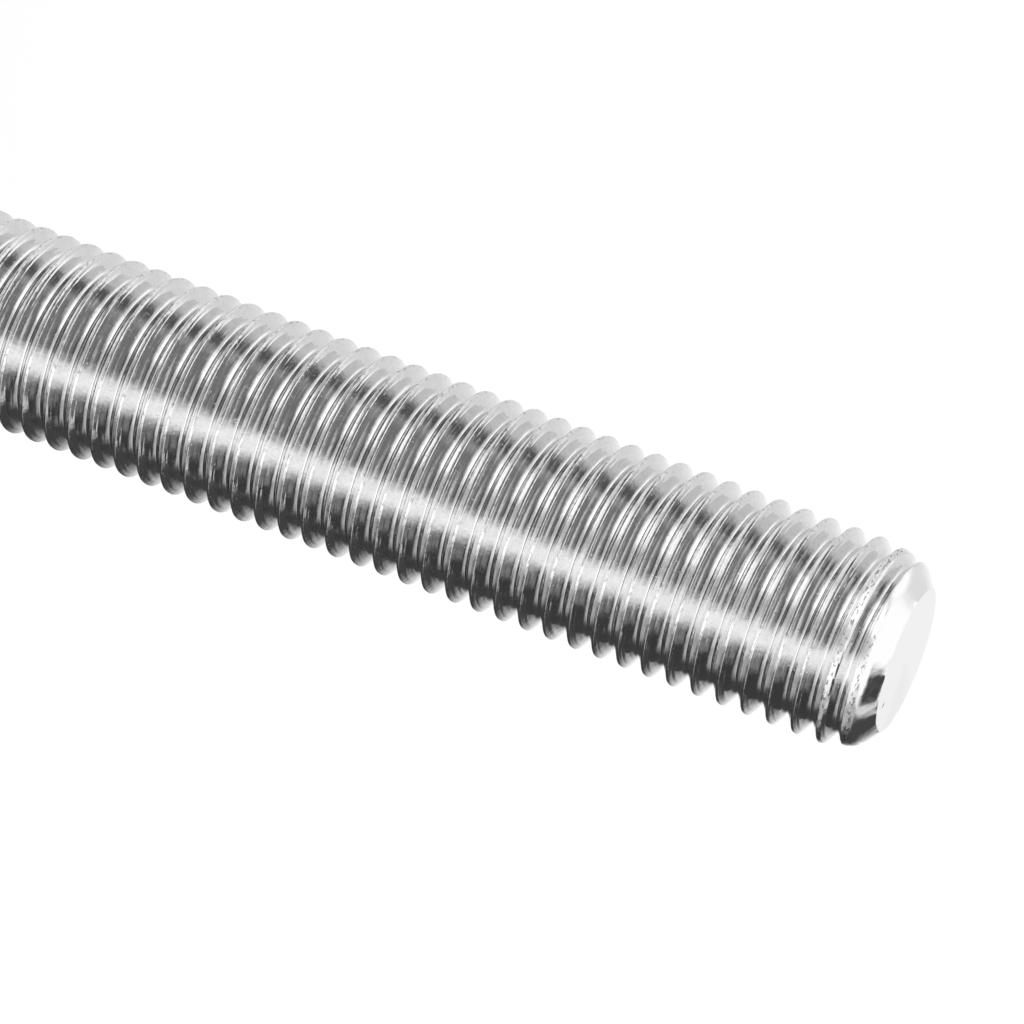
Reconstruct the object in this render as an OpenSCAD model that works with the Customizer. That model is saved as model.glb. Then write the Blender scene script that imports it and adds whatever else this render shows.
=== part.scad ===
// Threaded rod: a straight steel bar with one helical groove cut along its whole
// length, standing on one end. Sizes are in millimetres and angles in degrees.

/* [Rod] */
// Length from end face to end face
rod_length = 100; // [40:1:120]
// Diameter over the full crests of the thread
crest_d = 15.8; // [12:0.1:20]

/* [Thread] */
// Way the thread turns
hand = "left"; // [left, right]
// Distance along the rod from one crest to the next
pitch = 2; // [1.5:0.05:2.5]
// Angle between the two flanks of the groove
flank_angle = 60; // [50:1:70]
// Width of the flat left on each crest
crest_flat = 0.25; // [0.2:0.01:0.35]
// Width of the flat at the bottom of the groove
root_flat = 0.35; // [0.1:0.01:0.5]
// Angle round the rod at which the middle of the groove leaves the foot
thread_start = 216; // [0:1:359]

/* [Ends] */
// Length along the rod of the steep chamfer next to each end face
chamfer_length = 1.25; // [0.5:0.05:2]
// How far the rim of each end face lies inside the full crests
chamfer_inset = 2.35; // [1:0.05:3]
// Distance from each end face to the first full crest
taper_length = 4; // [2.5:0.1:8]
// How far the crests lie inside the full ones where chamfer and taper meet
taper_inset = 0.7; // [0.2:0.05:0.9]

/* [Hidden] */

// Radii of the turned blank
crest_r = crest_d / 2;
taper_r = crest_r - taper_inset;
face_r = crest_r - chamfer_inset;
round_facets = 96;

// Cross-section of the groove: the flanks run on past the crests, by a share of
// the height at which two neighbouring turns would meet
flank_slope = tan(flank_angle / 2);
mouth_w = pitch - crest_flat;
groove_depth = (mouth_w - root_flat) / 2 / flank_slope;
turns_meet = crest_flat / 2 / flank_slope;
overshoot = 0.75 * turns_meet;
groove = [
    [crest_r - groove_depth, -root_flat / 2],
    [crest_r - groove_depth, root_flat / 2],
    [crest_r + overshoot, mouth_w / 2 + overshoot * flank_slope],
    [crest_r + overshoot, -mouth_w / 2 - overshoot * flank_slope],
];
corners = len(groove);

// The groove starts one pitch below the foot and ends one pitch above the tip, in
// as many steps a turn as keep its mesh within the triangle budget
triangle_budget = 12000;
turn_sense = hand == "left" ? -1 : 1;
turns = rod_length / pitch + 2;
steps_per_turn = floor(triangle_budget / (2 * corners * turns));
steps = ceil(turns * steps_per_turn);

// Bar before threading: a cylinder whose ends have a short taper and a chamfer
module blank() {
    rotate_extrude($fn = round_facets)
        polygon([
            [0, 0],
            [face_r, 0],
            [taper_r, chamfer_length],
            [crest_r, taper_length],
            [crest_r, rod_length - taper_length],
            [taper_r, rod_length - chamfer_length],
            [face_r, rod_length],
            [0, rod_length],
        ]);
}

// The groove's corners after a number of steps along the helix
function ring(step) =
    let (
        angle = thread_start + turn_sense * 360 * (step / steps_per_turn - 1),
        rise = pitch * (step / steps_per_turn - 1)
    )
    [for (p = groove) [p[0] * cos(angle), p[0] * sin(angle), p[1] + rise]];

// Two triangles between the ring at a step and the next one, turned outward
function side(step, corner) =
    let (
        a = step * corners + corner,
        b = step * corners + (corner + 1) % corners,
        c = b + corners,
        d = a + corners
    )
    turn_sense < 0 ? [[a, b, c], [a, c, d]] : [[a, c, b], [a, d, c]];

// Closed cap over one ring; the first ring and the last one face opposite ways
function cap(step, up) =
    [for (k = [0:corners - 1]) step * corners + ((turn_sense < 0) == up ? k : corners - 1 - k)];

// Solid that fills the groove, swept along the whole helix
module groove_sweep() {
    polyhedron(
        points = [for (s = [0:steps]) each ring(s)],
        faces = concat(
            [for (s = [0:steps - 1]) for (k = [0:corners - 1]) each side(s, k)],
            [cap(0, false), cap(steps, true)]
        ),
        convexity = 10
    );
}

module threaded_rod() {
    color("silver")
        difference() {
            blank();
            groove_sweep();
        }
}

threaded_rod();
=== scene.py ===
"""Dresses the threaded rod: its thread with eased bends, its end cones, its steel and a small studio."""

import math

import bpy
import numpy as np
from mathutils import Matrix, Vector


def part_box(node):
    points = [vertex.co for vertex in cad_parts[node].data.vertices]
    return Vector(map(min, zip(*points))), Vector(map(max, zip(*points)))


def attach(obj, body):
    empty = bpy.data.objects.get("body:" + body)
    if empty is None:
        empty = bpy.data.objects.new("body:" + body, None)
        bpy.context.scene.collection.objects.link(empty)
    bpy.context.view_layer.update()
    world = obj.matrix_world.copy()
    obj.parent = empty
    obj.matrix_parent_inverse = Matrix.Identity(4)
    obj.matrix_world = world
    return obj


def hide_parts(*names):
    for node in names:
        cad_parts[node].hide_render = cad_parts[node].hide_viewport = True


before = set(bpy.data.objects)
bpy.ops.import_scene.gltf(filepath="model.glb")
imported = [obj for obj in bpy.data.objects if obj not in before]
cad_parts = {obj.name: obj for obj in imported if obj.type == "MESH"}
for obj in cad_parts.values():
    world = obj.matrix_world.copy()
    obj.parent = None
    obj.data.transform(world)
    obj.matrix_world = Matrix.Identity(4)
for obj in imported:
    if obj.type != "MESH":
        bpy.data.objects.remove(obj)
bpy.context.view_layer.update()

# Sizes in millimetres, as the rod's source has them
MM = 0.001
foot_corner, tip_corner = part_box("threaded_rod")
ROD_LENGTH = (tip_corner.z - foot_corner.z) / MM
CREST_R = (tip_corner.x - foot_corner.x) / 2 / MM
PITCH = 2.0
GROOVE_START = math.radians(216)
CHAMFER_LENGTH = 1.25
FACE_R = CREST_R - 2.35
TAPER_LENGTH = 4.0
TAPER_R = CREST_R - 0.7
CHAMFER_SLOPE = (TAPER_R - FACE_R) / CHAMFER_LENGTH
TAPER_SLOPE = (CREST_R - TAPER_R) / (TAPER_LENGTH - CHAMFER_LENGTH)

# The rolled thread's section, within 0.1 of the source's plain one: its bends are eased, its two flanks
# lean a little differently, which tilts the crest and the root, and the one facing the foot is slightly wavy
ROOT_FLAT = 0.3
CREST_FLAT = 0.2
FOOT_FLANK_RISE = 1.505
TIP_FLANK_RISE = 1.705
FOOT_FLANK_WAVE = 0.11
FLANK_WIDTH = (PITCH - CREST_FLAT - ROOT_FLAT) / 2
GROOVE_DEPTH = (FOOT_FLANK_RISE + TIP_FLANK_RISE) / 2 * FLANK_WIDTH
TILT = (TIP_FLANK_RISE - FOOT_FLANK_RISE) * FLANK_WIDTH / PITCH
GROOVE_SHIFT = 0.01

# How far each bend of an outline is eased to either side
FOOT_ROOT_EASE = 0.21
TIP_ROOT_EASE = 0.16
CREST_EASE = 0.03
CUT_EASE = 0.03
SHOULDER_EASE = 0.42

# The burr that cutting leaves on the rim of an end face
BURR_HEIGHT = 0.034
BURR_REACH = 0.12

# A small dent in the upper end face: its place, and how far it reaches; its dark colour is painted shade
DENT_X = 3.65
DENT_Y = -2.2
DENT_REACH = 0.3
DENT_DEPTH = 0.08

# The fine waves and the low ridge that rolling leaves along the flank that faces the tip: how far the
# ridge lies from the groove's middle, and between which such distances the waves fade in and out
RIDGE_PLACE = 0.6
RIDGE_HEIGHT = 0.012
RIDGE_HALF_WIDTH = 0.14
WAVE_LENGTH = 0.155
WAVE_HEIGHT = 0.001
WAVES_IN = (0.28, 0.38)
WAVES_OUT = (0.86, 0.78)

# What else rolling and handling leave on the steel: its height, and how many grains of it lie in a
# millimetre, where there are two numbers first across the thread and then along it
STREAK_HEIGHT = 0.034
STREAKS_PER_MM = (4.0, 0.16)
SCRATCH_HEIGHT = 0.002
SCRATCHES_PER_MM = (26.0, 0.9)
TEAR_HEIGHT = 0.022
TEARS_PER_MM = (5.0, 2.2)
PIT_DEPTH = 0.01
PITS_PER_MM = 2.0
PIT_SIZE = 0.16
UNEVEN_HEIGHT = 0.016
UNEVEN_PER_MM = 1.3
GRAIN_HEIGHT = 0.0025
GRAINS_PER_MM = 6.0
BLOTCHES_PER_MM = 1.1
MOTTLE_PER_MM = 5.0

# Greys of the steel: rolled; darker, for dirt and for painted shade in the seams of the torn crests; turned;
# and painted shade in the dent. Then the roughness it starts from
ROLLED_GREY = (0.8, 0.8, 0.8, 1)
DIRT_AND_SEAM_SHADE_GREY = (0.3, 0.3, 0.3, 1)
TURNED_GREY = (0.86, 0.86, 0.86, 1)
# The dent's dark grey is painted shade
DENT_SHADE_GREY = (0.1, 0.1, 0.1, 1)
ROUGHNESS = 0.095

# How thin a layer counts as the end face
FACE_LAYER = 0.03

# Grid of the rod's surface
COLUMNS = 72
END_BAND = 4.4
TIP_ROWS = 70
FOOT_ROWS = 40


def eased_ramp(t, ease):
    """Zero for t below -ease, t itself above +ease, and between them the parabola that joins the two."""
    middle = (t + ease) ** 2 / (4 * ease)
    return np.where(t < -ease, 0.0, np.where(t > ease, t, middle))


def groove_middle(angle):
    """Height of the groove's middle: it falls by one pitch for each full turn of the angle."""
    return GROOVE_SHIFT - PITCH * (angle - GROOVE_START) / (2 * np.pi)


def flank(off, rise, root_ease, wave):
    """Height over the root, by the distance from the groove's middle: a straight rise, eased at both ends,
    plus one sine wave over its length."""
    past_root = off - ROOT_FLAT / 2
    climb = eased_ramp(past_root, root_ease) - eased_ramp(past_root - FLANK_WIDTH, CREST_EASE)
    share = np.clip(climb / FLANK_WIDTH, 0, 1)
    return rise * (climb + wave * FLANK_WIDTH * np.sin(2 * np.pi * share) / (2 * np.pi))


def thread_radius(angle, z):
    """Root radius plus the tilt and the flank's height: one flank above the groove's middle, one below it."""
    off = np.mod(z - groove_middle(angle) + PITCH / 2, PITCH) - PITCH / 2
    above = flank(off, FOOT_FLANK_RISE, FOOT_ROOT_EASE, FOOT_FLANK_WAVE)
    below = flank(-off, TIP_FLANK_RISE, TIP_ROOT_EASE, 0.0)
    return CREST_R - GROOVE_DEPTH - TILT * CREST_FLAT / 2 + TILT * off + np.where(off > 0, above, below)


def end_radius(angle, z):
    """Radius of the turned blank: the chamfer's rise from the nearer end face, eased into the taper's, plus
    a ragged burr, which is three sine waves round the rod that fade with the distance from the face."""
    depth = np.minimum(z, ROD_LENGTH - z)
    past = eased_ramp(depth - CHAMFER_LENGTH, SHOULDER_EASE)
    burr = np.sin(5 * angle) + np.sin(13 * angle + 1) + np.sin(29 * angle + 2)
    ragged = BURR_HEIGHT * burr * np.exp(-depth / BURR_REACH)
    return FACE_R + CHAMFER_SLOPE * depth - (CHAMFER_SLOPE - TAPER_SLOPE) * past + ragged


def rod_radius(angle, z):
    """The smaller of the thread's and the blank's radius, with the edge between them eased."""
    blank = end_radius(angle, z)
    return blank - eased_ramp(blank - thread_radius(angle, z), CUT_EASE)


def rod_point(angle, z):
    """Point at an angle and height: x and y are the radius times cosine and sine, z is the height."""
    r = rod_radius(angle, z)
    return np.stack([r * np.cos(angle), r * np.sin(angle), z], axis=-1)


def rod_normal(angle, z):
    """Cross product of the surface's slopes along the angle and along the height."""
    step = 0.001
    r = rod_radius(angle, z)
    around = (rod_radius(angle + step, z) - rod_radius(angle - step, z)) / (2 * step)
    along = (rod_radius(angle, z + step) - rod_radius(angle, z - step)) / (2 * step)
    across = np.stack(
        [
            r * np.cos(angle) + around * np.sin(angle),
            r * np.sin(angle) - around * np.cos(angle),
            -r * along,
        ],
        axis=-1,
    )
    return across / np.linalg.norm(across, axis=-1, keepdims=True)


def column_angles():
    """One full turn of columns; the last column lies on the first."""
    return np.linspace(0, 2 * np.pi, COLUMNS + 1)


def turned_band(low, high, rows):
    """Level rings, evenly spaced from one height to another."""
    return np.meshgrid(np.linspace(low, high, rows), column_angles(), indexing="ij")


def flank_rows(root_ease):
    """Distances from the groove's middle at which a flank bends, with rows between them."""
    root = ROOT_FLAT / 2 + root_ease * np.linspace(-1, 1, 6)
    crest = ROOT_FLAT / 2 + FLANK_WIDTH + CREST_EASE * np.array([-1, 0, 1])
    between = root[-1] + (crest[0] - root[-1]) * np.array([0.2, 0.4, 0.6, 0.8])
    return np.concatenate([root[root > 0.02], between, crest])


def threaded_band(low, high):
    """Rings that climb with the groove, with rows at each bend of its outline, held between two heights."""
    above = flank_rows(FOOT_ROOT_EASE)
    below = flank_rows(TIP_ROOT_EASE)
    bends = np.concatenate([-below[::-1], [0.0], above])
    turns = np.arange(int(ROD_LENGTH / PITCH) + 3) - 1
    rows = (turns[:, None] * PITCH + bends[None, :]).ravel()
    z, angle = np.meshgrid(rows, column_angles(), indexing="ij")
    return np.clip(z + groove_middle(angle), low, high), angle


def grid_triangles(shape, first):
    """Two triangles for each cell of a grid of points, turned outward, counted from the first point."""
    rows, columns = shape
    corner = first + np.arange(rows - 1)[:, None] * columns + np.arange(columns - 1)
    lower = np.stack([corner, corner + 1, corner + columns + 1], axis=-1)
    upper = np.stack([corner, corner + columns + 1, corner + columns], axis=-1)
    return np.concatenate([lower.reshape(-1, 3), upper.reshape(-1, 3)])


def end_disc(z, outward):
    """Rings of an end face, whose radius shrinks to the centre; outward is 1 at the tip, -1 at the foot."""
    share = np.array([1.0, 0.94, 0.8, 0.6, 0.35, 0.0])[::outward]
    share, angle = np.meshgrid(share, column_angles(), indexing="ij")
    r = rod_radius(angle, np.full_like(angle, z)) * share
    points = np.stack([r * np.cos(angle), r * np.sin(angle), np.full_like(r, z)], axis=-1)
    normals = np.zeros_like(points)
    normals[..., 2] = outward
    return points, normals


def joined(grids):
    """One mesh from grids of points and normals: points that coincide are merged, flat cells dropped."""
    points, normals, triangles, first = [], [], [], 0
    for grid, normal in grids:
        triangles.append(grid_triangles(grid.shape[:2], first))
        points.append(grid.reshape(-1, 3))
        normals.append(normal.reshape(-1, 3))
        first += grid.shape[0] * grid.shape[1]
    points = np.concatenate(points)
    normals = np.concatenate(normals)
    triangles = np.concatenate(triangles)
    _, kept, place = np.unique(np.round(points, 5), axis=0, return_index=True, return_inverse=True)
    place = place.ravel()
    merged = place[triangles]
    whole = np.all(merged != np.roll(merged, 1, axis=1), axis=1)
    return points[kept], merged[whole], normals[triangles[whole]]


def rod_piece():
    """The whole rod: foot disc, foot ends, climbing thread, tip ends and tip disc, as one closed mesh."""
    tip_band = ROD_LENGTH - END_BAND
    bands = [
        turned_band(0, END_BAND, FOOT_ROWS),
        threaded_band(END_BAND, tip_band),
        turned_band(tip_band, ROD_LENGTH, TIP_ROWS),
    ]
    grids = [end_disc(0.0, -1)]
    grids += [(rod_point(angle, z), rod_normal(angle, z)) for z, angle in bands]
    grids += [end_disc(ROD_LENGTH, 1)]
    points, triangles, corner_normals = joined(grids)
    mesh = bpy.data.meshes.new("rod")
    mesh.from_pydata(points * MM, [], triangles)
    mesh.polygons.foreach_set("use_smooth", np.ones(len(triangles), dtype=bool))
    mesh.normals_split_custom_set(corner_normals.reshape(-1, 3))
    mesh.update()
    piece = bpy.data.objects.new("rod", mesh)
    bpy.context.collection.objects.link(piece)
    return piece


def feed(tree, socket, value):
    """Puts a constant on a socket, or joins it to another node's output."""
    if isinstance(value, bpy.types.NodeSocket):
        tree.links.new(value, socket)
    else:
        socket.default_value = value


def maths(tree, operation, *values):
    node = tree.nodes.new("ShaderNodeMath")
    node.operation = operation
    for socket, value in zip(node.inputs, values):
        feed(tree, socket, value)
    return node.outputs["Value"]


def eased_mask(tree, value, low, high):
    """0 where the value is at low or beyond it, 1 at high, and a smooth change between."""
    node = tree.nodes.new("ShaderNodeMapRange")
    node.interpolation_type = "SMOOTHSTEP"
    feed(tree, node.inputs["Value"], value)
    node.inputs["From Min"].default_value = low
    node.inputs["From Max"].default_value = high
    return node.outputs["Result"]


def place(tree, *values):
    node = tree.nodes.new("ShaderNodeCombineXYZ")
    for socket, value in zip(node.inputs, values):
        feed(tree, socket, value)
    return node.outputs["Vector"]


def grain(tree, where, per_mm, octaves=1.0):
    """Noise about zero, with so many grains a millimetre."""
    node = tree.nodes.new("ShaderNodeTexNoise")
    feed(tree, node.inputs["Vector"], where)
    node.inputs["Scale"].default_value = per_mm
    node.inputs["Detail"].default_value = octaves
    return maths(tree, "SUBTRACT", node.outputs["Fac"], 0.5)


def pits(tree, where, per_mm, size):
    """1 in the middle of scattered round pits and 0 between them; size is a share of their spacing."""
    node = tree.nodes.new("ShaderNodeTexVoronoi")
    feed(tree, node.inputs["Vector"], where)
    node.inputs["Scale"].default_value = per_mm
    return eased_mask(tree, node.outputs["Distance"], size, 0.0)


def total(tree, *weighted):
    """Sum of values, each given with its weight."""
    result = 0.0
    for value, weight in weighted:
        result = maths(tree, "MULTIPLY_ADD", value, weight, result)
    return result


def mixed(tree, share, first, second):
    """Colour between two others: the first where the share is 0, the second where it is 1."""
    node = tree.nodes.new("ShaderNodeMix")
    node.data_type = "RGBA"
    feed(tree, node.inputs["Factor"], share)
    feed(tree, node.inputs["A"], first)
    feed(tree, node.inputs["B"], second)
    return node.outputs["Result"]


class Spot:
    """Where a point of the steel lies, in millimetres: the point, and its place on the thread."""

    def __init__(self, tree):
        coordinates = tree.nodes.new("ShaderNodeTexCoord")
        scale = tree.nodes.new("ShaderNodeVectorMath")
        scale.operation = "SCALE"
        feed(tree, scale.inputs["Vector"], coordinates.outputs["Object"])
        scale.inputs["Scale"].default_value = 1 / MM
        self.point = scale.outputs["Vector"]
        parts = tree.nodes.new("ShaderNodeSeparateXYZ")
        feed(tree, parts.inputs["Vector"], self.point)
        self.x, self.y, self.z = parts.outputs["X"], parts.outputs["Y"], parts.outputs["Z"]

        # Count of turns up to the point: whole numbers lie in the middle of the groove, halves on the crest
        turns = maths(tree, "DIVIDE", maths(tree, "ARCTAN2", self.y, self.x), 2 * math.pi)
        count = maths(tree, "MULTIPLY_ADD", self.z, 1 / PITCH, turns)
        count = maths(tree, "SUBTRACT", count, GROOVE_START / (2 * math.pi) + GROOVE_SHIFT / PITCH)
        nearest = maths(tree, "ROUND", count)
        below = maths(tree, "FLOOR", count)
        past_crest = maths(tree, "SUBTRACT", maths(tree, "SUBTRACT", count, below), 0.5)
        girth = 2 * math.pi * (CREST_R - GROOVE_DEPTH / 2)
        self.groove_off = maths(tree, "MULTIPLY", maths(tree, "SUBTRACT", count, nearest), PITCH)
        self.groove_along = maths(tree, "MULTIPLY", maths(tree, "SUBTRACT", turns, nearest), girth)
        self.crest_off = maths(tree, "MULTIPLY", past_crest, PITCH)
        self.crest_along = maths(tree, "MULTIPLY", maths(tree, "SUBTRACT", turns, below), girth)

        # Distance along the rod from the nearer end face
        from_middle = maths(tree, "ABSOLUTE", maths(tree, "SUBTRACT", self.z, ROD_LENGTH / 2))
        self.depth = maths(tree, "SUBTRACT", ROD_LENGTH / 2, from_middle)


def stretched_grain(tree, off, along, per_mm, layer, octaves=1.0):
    """Grain drawn out along the thread, with its own number of grains a millimetre each way. Grains on
    different layers differ."""
    across = maths(tree, "MULTIPLY", off, per_mm[0])
    lengthways = maths(tree, "MULTIPLY", along, per_mm[1])
    return grain(tree, place(tree, across, lengthways, layer), 1.0, octaves)


def rolled_waves(tree, spot):
    """Height of the waves and the ridge on the flank that faces the tip; the waves fade out at its ends."""
    off = maths(tree, "MULTIPLY", spot.groove_off, -1.0)
    from_ridge = maths(tree, "SUBTRACT", off, RIDGE_PLACE)
    wave = maths(tree, "SINE", maths(tree, "MULTIPLY", from_ridge, 2 * math.pi / WAVE_LENGTH))
    waved = maths(tree, "MULTIPLY", eased_mask(tree, off, *WAVES_IN), eased_mask(tree, off, *WAVES_OUT))
    ridge = eased_mask(tree, maths(tree, "ABSOLUTE", from_ridge), RIDGE_HALF_WIDTH, 0.0)
    return total(tree, (maths(tree, "MULTIPLY", wave, waved), WAVE_HEIGHT), (ridge, RIDGE_HEIGHT))


def torn_crests(tree, spot):
    """Grain of the torn crests, and how much each place is torn: most of all next to the end cones."""
    tears = stretched_grain(tree, spot.crest_off, spot.crest_along, TEARS_PER_MM, 9.0, 2.0)
    at_crest = eased_mask(tree, maths(tree, "ABSOLUTE", spot.crest_off), 0.24, 0.08)
    taper = eased_mask(tree, spot.depth, TAPER_LENGTH + 1.0, CHAMFER_LENGTH + 0.4)
    return tears, maths(tree, "MULTIPLY", at_crest, maths(tree, "MULTIPLY_ADD", taper, 1.5, 0.5))


def face_dent(tree, spot):
    """1 in the middle of the dent in the upper end face, 0 beyond its reach."""
    x_off = maths(tree, "SUBTRACT", spot.x, DENT_X)
    y_off = maths(tree, "SUBTRACT", spot.y, DENT_Y)
    squares = maths(tree, "ADD", maths(tree, "POWER", x_off, 2.0), maths(tree, "POWER", y_off, 2.0))
    near = eased_mask(tree, maths(tree, "SQRT", squares), DENT_REACH, 0.0)
    return maths(tree, "MULTIPLY", near, maths(tree, "GREATER_THAN", spot.z, ROD_LENGTH - FACE_LAYER))


def steel():
    """Bare rolled steel: streaks that run along the thread, torn crests, small pits, and turned ends."""
    material = bpy.data.materials.new("bare steel")
    material.use_nodes = True
    tree = material.node_tree
    spot = Spot(tree)

    # Where each effect lies
    threaded = eased_mask(tree, spot.depth, CHAMFER_LENGTH - 0.05, CHAMFER_LENGTH + 0.15)
    end_face = eased_mask(tree, spot.depth, FACE_LAYER, FACE_LAYER / 6)
    on_flank = eased_mask(tree, maths(tree, "ABSOLUTE", spot.crest_off), 0.0, 0.14)
    tears, torn = torn_crests(tree, spot)
    dent = face_dent(tree, spot)

    # Heights in millimetres
    streaks = stretched_grain(tree, spot.groove_off, spot.groove_along, STREAKS_PER_MM, 0.0)
    scratches = stretched_grain(tree, spot.groove_off, spot.groove_along, SCRATCHES_PER_MM, 5.0)
    on_thread = total(
        tree,
        (rolled_waves(tree, spot), 1.0),
        (pits(tree, spot.point, PITS_PER_MM, PIT_SIZE), -PIT_DEPTH),
        (maths(tree, "MULTIPLY", streaks, on_flank), STREAK_HEIGHT),
        (maths(tree, "MULTIPLY", scratches, on_flank), SCRATCH_HEIGHT),
        (maths(tree, "MULTIPLY", tears, torn), TEAR_HEIGHT),
    )
    everywhere = total(
        tree,
        (grain(tree, spot.point, UNEVEN_PER_MM), UNEVEN_HEIGHT),
        (grain(tree, spot.point, GRAINS_PER_MM), GRAIN_HEIGHT),
        (dent, -DENT_DEPTH),
    )
    bump = tree.nodes.new("ShaderNodeBump")
    bump.inputs["Distance"].default_value = MM
    feed(tree, bump.inputs["Height"], maths(tree, "MULTIPLY_ADD", on_thread, threaded, everywhere))

    # Dirt and painted shade, as a share of the darker grey: dirt in blotches and in fine mottle, painted
    # shade in the seams of the torn crests
    blotches = grain(tree, spot.point, BLOTCHES_PER_MM, 3.0)
    mottle = grain(tree, spot.point, MOTTLE_PER_MM, 2.0)
    # Painted shade: the seams of the torn crests are darkened in the colour
    painted_seam_shade = maths(tree, "MULTIPLY", torn, eased_mask(tree, tears, 0.0, 0.2))
    dirt_and_seam_shade = total(tree, (blotches, 0.25), (mottle, 0.3), (painted_seam_shade, 1.3), (threaded, 0.06))
    rolled = mixed(tree, maths(tree, "MAXIMUM", dirt_and_seam_shade, 0.0), ROLLED_GREY, DIRT_AND_SEAM_SHADE_GREY)
    # The dent is painted dark with its grey, as shade
    colour = mixed(tree, dent, mixed(tree, threaded, TURNED_GREY, rolled), DENT_SHADE_GREY)
    rougher = total(tree, (end_face, 0.2), (blotches, 0.1), (torn, 0.05))

    shader = tree.nodes["Principled BSDF"]
    shader.inputs["Metallic"].default_value = 1
    feed(tree, shader.inputs["Base Color"], colour)
    feed(tree, shader.inputs["Roughness"], maths(tree, "ADD", rougher, ROUGHNESS))
    feed(tree, shader.inputs["Normal"], bump.outputs["Normal"])
    return material


rod = rod_piece()
rod.data.materials.append(steel())
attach(rod, "root")
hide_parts("threaded_rod")


# The floor, in metres, and how much it glows where it is seen, so that it shows as white
FLOOR_WIDTH = 40.0
FLOOR_GREY = (0.9, 0.9, 0.9, 1)
FLOOR_GLOW = 0.12


def stage_piece(name, points, cells, material):
    """A mesh for the studio, kept apart from the rod: it is not attached to the rod's body."""
    mesh = bpy.data.meshes.new(name)
    mesh.from_pydata(points, [], cells)
    mesh.materials.append(material)
    piece = bpy.data.objects.new(name, mesh)
    bpy.context.collection.objects.link(piece)
    return piece


def pale_floor():
    """A wide pale sheet that shows as white where it is seen and keeps the rod's shadow. In its place the
    rod mirrors the studio's surroundings."""
    material = bpy.data.materials.new("pale floor")
    material.use_nodes = True
    tree = material.node_tree
    shader = tree.nodes["Principled BSDF"]
    shader.inputs["Base Color"].default_value = FLOOR_GREY
    shader.inputs["Roughness"].default_value = 0.9
    shader.inputs["Emission Color"].default_value = (1, 1, 1, 1)
    path = tree.nodes.new("ShaderNodeLightPath")
    seen = maths(tree, "MAXIMUM", path.outputs["Is Camera Ray"], path.outputs["Is Glossy Ray"])
    seen = maths(tree, "MAXIMUM", seen, path.outputs["Is Transmission Ray"])
    feed(tree, shader.inputs["Emission Strength"], maths(tree, "MULTIPLY", seen, FLOOR_GLOW))
    half = FLOOR_WIDTH / 2
    corners = [(-half, -half, 0), (half, -half, 0), (half, half, 0), (-half, half, 0)]
    floor = stage_piece("floor", corners, [(0, 1, 2, 3)], material)
    floor.visible_glossy = False
    return floor


# Cards round the rod, each laid over the ones before it: what it is, its sides in degrees round the rod
# (0 at the front, growing to the right), its bottom and top in degrees over the horizon, its brightness.
# The edges are soft, by so many degrees to either side.
SIDE_EDGE = 13
LEVEL_EDGE = 6
CARDS = [
    ("grey wall on the left", -163, -12, -90, 50, 0.82),
    ("overhead scrim", -200, 200, 54, 100, 1.15),
    ("light strip high behind on the left", -128, -72, 12, 50, 1.25),
    ("dark table under the camera", -62, 84, -36, -15, 0.25),
    ("black card low on the left", -95, -62, -26, -4, 0.12),
    ("left softbox", -59, -13, -3, 50, 1.65),
    ("gap over the camera", -10, 16, -2, 50, 0.7),
    ("key softbox", 22, 57, -90, 54, 1.4),
    ("camera and its stand", -20, 19, -18, -4, 0.05),
    ("black card beside the key softbox", 55, 95, -18, -3, 0.03),
    ("black flag on the right", 82, 165, -90, 43, 0.06),
    ("grey flag on the right", 80, 116, -3, 43, 0.55),
    ("upper flag on the right", 108, 160, 50, 76, 0.05),
]


def card_mask(tree, around, height, card):
    """1 where a card stands, by the angle round the rod and the height over the horizon, with soft edges."""
    _, left, right, bottom, top, _ = card
    sides = maths(
        tree,
        "MULTIPLY",
        eased_mask(tree, around, left - SIDE_EDGE, left + SIDE_EDGE),
        eased_mask(tree, around, right + SIDE_EDGE, right - SIDE_EDGE),
    )
    ends = maths(
        tree,
        "MULTIPLY",
        eased_mask(tree, height, bottom - LEVEL_EDGE, bottom + LEVEL_EDGE),
        eased_mask(tree, height, top + LEVEL_EDGE, top - LEVEL_EDGE),
    )
    return maths(tree, "MULTIPLY", sides, ends)


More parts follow.
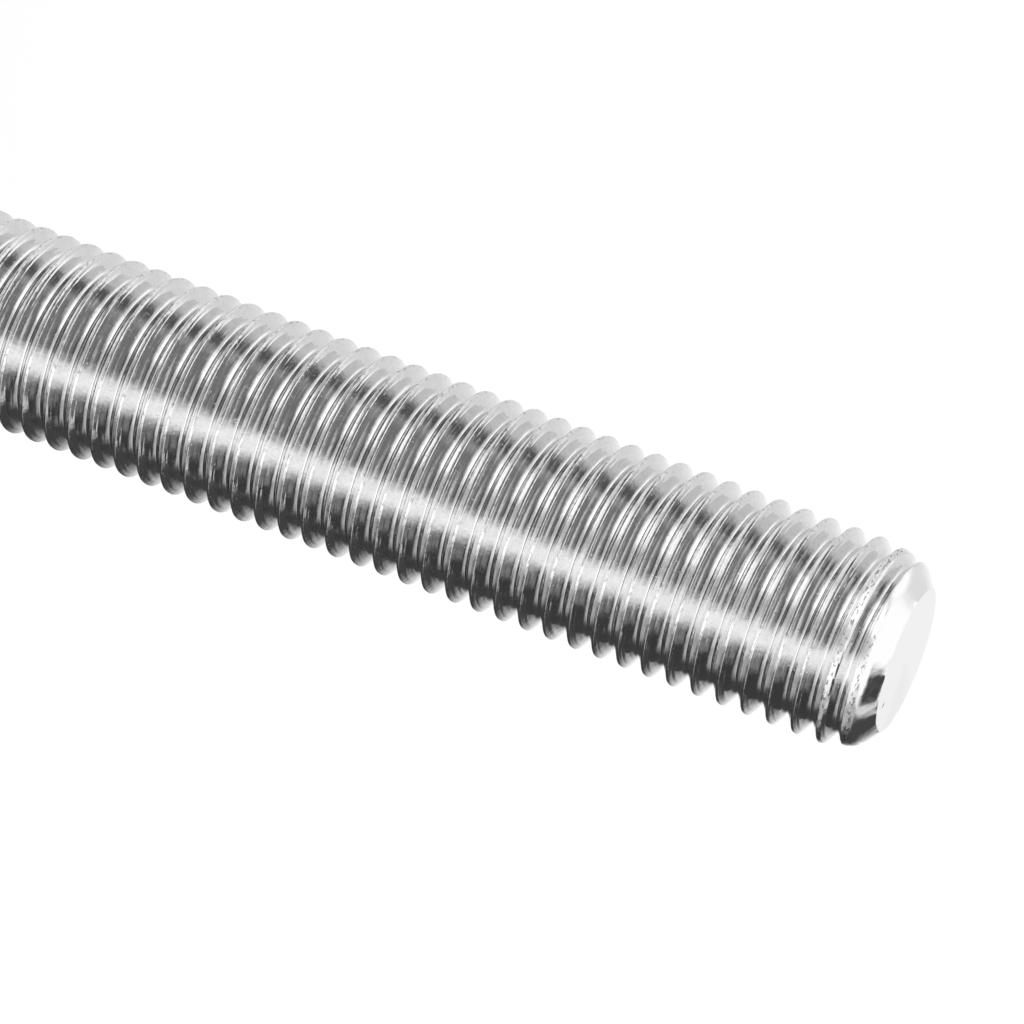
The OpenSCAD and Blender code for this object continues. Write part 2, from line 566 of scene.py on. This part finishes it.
def studio():
    """World: plain white, in which metal also mirrors the softboxes and flags that stand round the rod."""
    world = bpy.data.worlds.new("studio")
    bpy.context.scene.world = world
    world.use_nodes = True
    tree = world.node_tree
    surroundings = tree.nodes.new("ShaderNodeTexCoord")
    direction = tree.nodes.new("ShaderNodeSeparateXYZ")
    feed(tree, direction.inputs["Vector"], surroundings.outputs["Object"])
    towards_camera = maths(tree, "MULTIPLY", direction.outputs["Y"], -1.0)
    around = maths(tree, "DEGREES", maths(tree, "ARCTAN2", direction.outputs["X"], towards_camera))
    height = maths(tree, "DEGREES", maths(tree, "ARCSINE", direction.outputs["Z"]))
    light = 1.0
    for card in CARDS:
        brightness = card[-1]
        change = maths(tree, "SUBTRACT", brightness, light)
        light = maths(tree, "MULTIPLY_ADD", change, card_mask(tree, around, height, card), light)
    path = tree.nodes.new("ShaderNodeLightPath")
    added = maths(tree, "SUBTRACT", light, 1.0)
    background = tree.nodes["Background"]
    background.inputs["Color"].default_value = (1, 1, 1, 1)
    strength = maths(tree, "MULTIPLY_ADD", added, path.outputs["Is Glossy Ray"], 1.0)
    feed(tree, background.inputs["Strength"], strength)


pale_floor()
studio()

# Camera: its place from the centre of the upper end face, how far it is raised from straight down, and
# its turn about its own line of sight
CAMERA_OFFSET = Vector((0, -347.3, 66.3)) * MM
CAMERA_RAISE = math.radians(74.2)
CAMERA_TURN = math.radians(110.64)
CAMERA_LENS = 169.5


def camera():
    data = bpy.data.cameras.new("camera")
    data.sensor_width = 36
    data.lens = CAMERA_LENS
    data.clip_start = 0.01
    viewer = bpy.data.objects.new("camera", data)
    place_it = Matrix.Translation(Vector((0, 0, ROD_LENGTH * MM)) + CAMERA_OFFSET)
    raise_it = Matrix.Rotation(CAMERA_RAISE, 4, "X")
    turn_it = Matrix.Rotation(CAMERA_TURN, 4, "Z")
    viewer.matrix_world = place_it @ raise_it @ turn_it
    bpy.context.collection.objects.link(viewer)
    return viewer


bpy.context.scene.camera = camera()
bpy.context.scene.view_settings.view_transform = "Standard"
